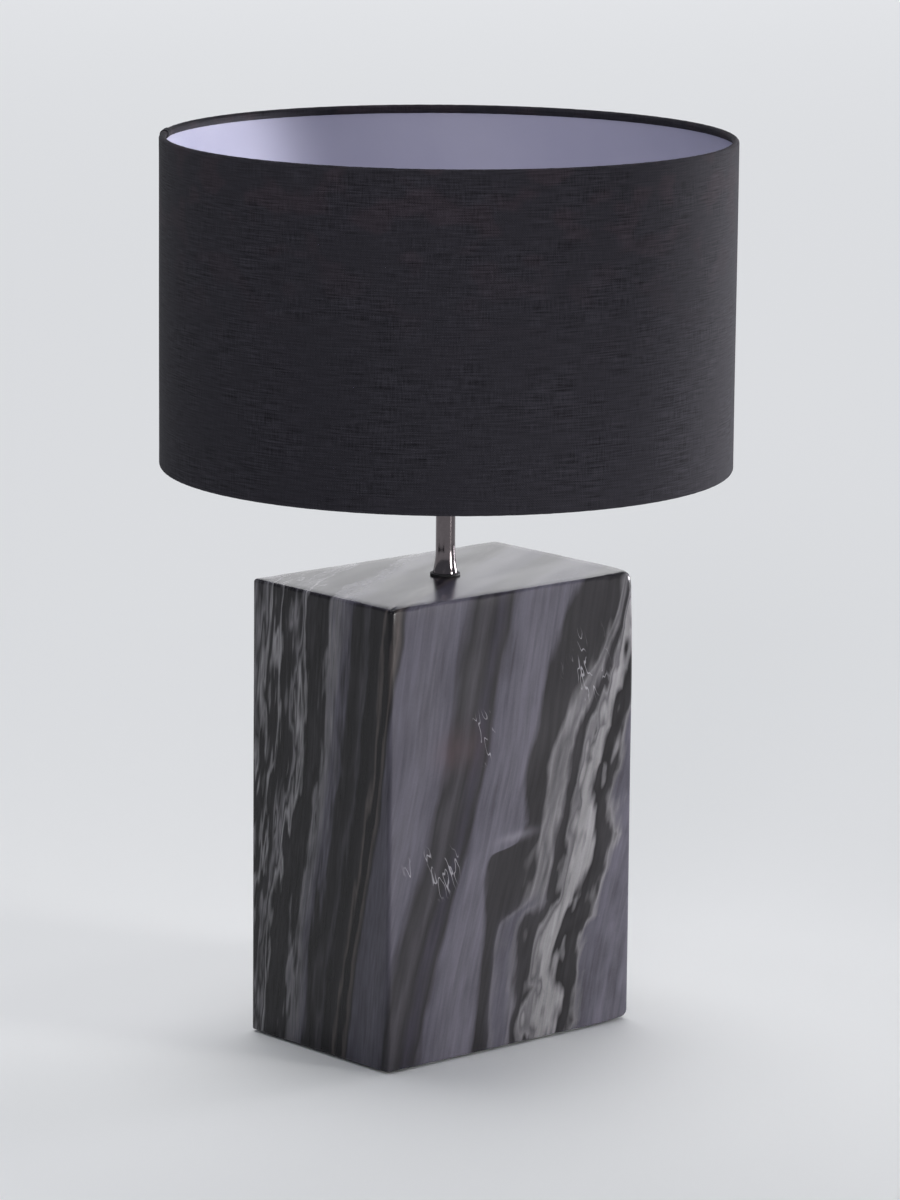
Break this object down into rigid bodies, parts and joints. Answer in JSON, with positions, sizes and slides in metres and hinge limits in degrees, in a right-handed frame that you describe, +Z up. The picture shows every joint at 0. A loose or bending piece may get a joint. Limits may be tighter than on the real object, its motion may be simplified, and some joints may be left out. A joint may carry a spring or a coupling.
{
  "type": "table lamp with shade",
  "caption": "Table lamp: a black cloth drum shade on a short chrome neck, over an upright rectangular block of dark banded marble.",
  "frame": {"origin": "middle of the pad's underside, on the surface that the lamp stands on, below the neck's axis", "axes": "+Z up along the neck's axis; X along the block's wide faces; -Y is the front wide face, +Y is the back, with the cord inlet"},
  "size_m": [0.35, 0.35, 0.5555],
  "materials": {
    "marble": "honed dark blue-grey marble with near-vertical lighter and darker bands and fine pale veins",
    "black_steel": "black powder coat on steel sheet",
    "felt": "dark needled felt",
    "zinc_steel": "bright zinc plate",
    "brass": "plain turned and pressed brass",
    "grommet_rubber": "black rubber",
    "black_washer": "black fibre washer",
    "chrome": "polished chrome plate",
    "holder_plastic": "black moulded thermoplastic",
    "porcelain": "unglazed white insulating porcelain",
    "nickel": "nickel-plated brass",
    "bulb_black_glass": "black moulded insulator",
    "bulb_white_plastic": "white satin moulded plastic",
    "circuit_board": "green circuit board",
    "led_aluminium": "white-coated aluminium board",
    "opal_glass": "white opal diffuser",
    "white_wire": "white powder coat on steel wire",
    "shade_lining": "white laminated lining, satin",
    "shade_cloth": "black slubbed plain-weave cotton"
  },
  "bodies": {
    "lamp_base": {"marble_block": "marble", "base_plate": "black_steel", "base_pad": "felt", "plate_screws": "zinc_steel", "plate_screw_inserts": "brass", "cord_grommet": "grommet_rubber", "threaded_tube": "zinc_steel", "tube_washer": "zinc_steel", "tube_lock_washer": "zinc_steel", "tube_nut": "brass", "neck_washer": "black_washer", "neck_sleeve": "chrome", "holder_cap": "holder_plastic", "holder_grub_screw": "zinc_steel", "holder_core": "porcelain", "holder_screw_shell": "brass", "holder_centre_contact": "brass", "holder_terminal_screws": "brass", "holder_shell": "holder_plastic"},
    "clamp_ring": {"shade_clamp_ring": "holder_plastic"},
    "bulb": {"bulb_tip_contact": "nickel", "bulb_insulator": "bulb_black_glass", "bulb_screw_cap": "nickel", "bulb_housing": "bulb_white_plastic", "bulb_driver_board": "circuit_board", "bulb_led_board": "led_aluminium", "bulb_globe": "opal_glass"},
    "shade": {"shade_fitter_ring": "white_wire", "shade_fitter_arms": "white_wire", "shade_bottom_ring": "white_wire", "shade_top_ring": "white_wire", "shade_lining": "shade_lining", "shade_cloth": "shade_cloth", "shade_top_hem": "shade_cloth", "shade_bottom_hem": "shade_cloth"}
  },
  "joints": [
    {"name": "shade_turn", "type": "hinge", "parent": "lamp_base", "child": "shade", "pos_m": [0, 0, 0.3735], "axis": [0, 0, 1], "continuous": true},
    {"name": "clamp_ring_unscrew", "type": "slide", "parent": "lamp_base", "child": "clamp_ring", "axis": [0, 0, 1], "range_m": [0, 0.02]},
    {"name": "bulb_unscrew", "type": "slide", "parent": "lamp_base", "child": "bulb", "axis": [0, 0, 1], "range_m": [0, 0.024]}
  ]
}
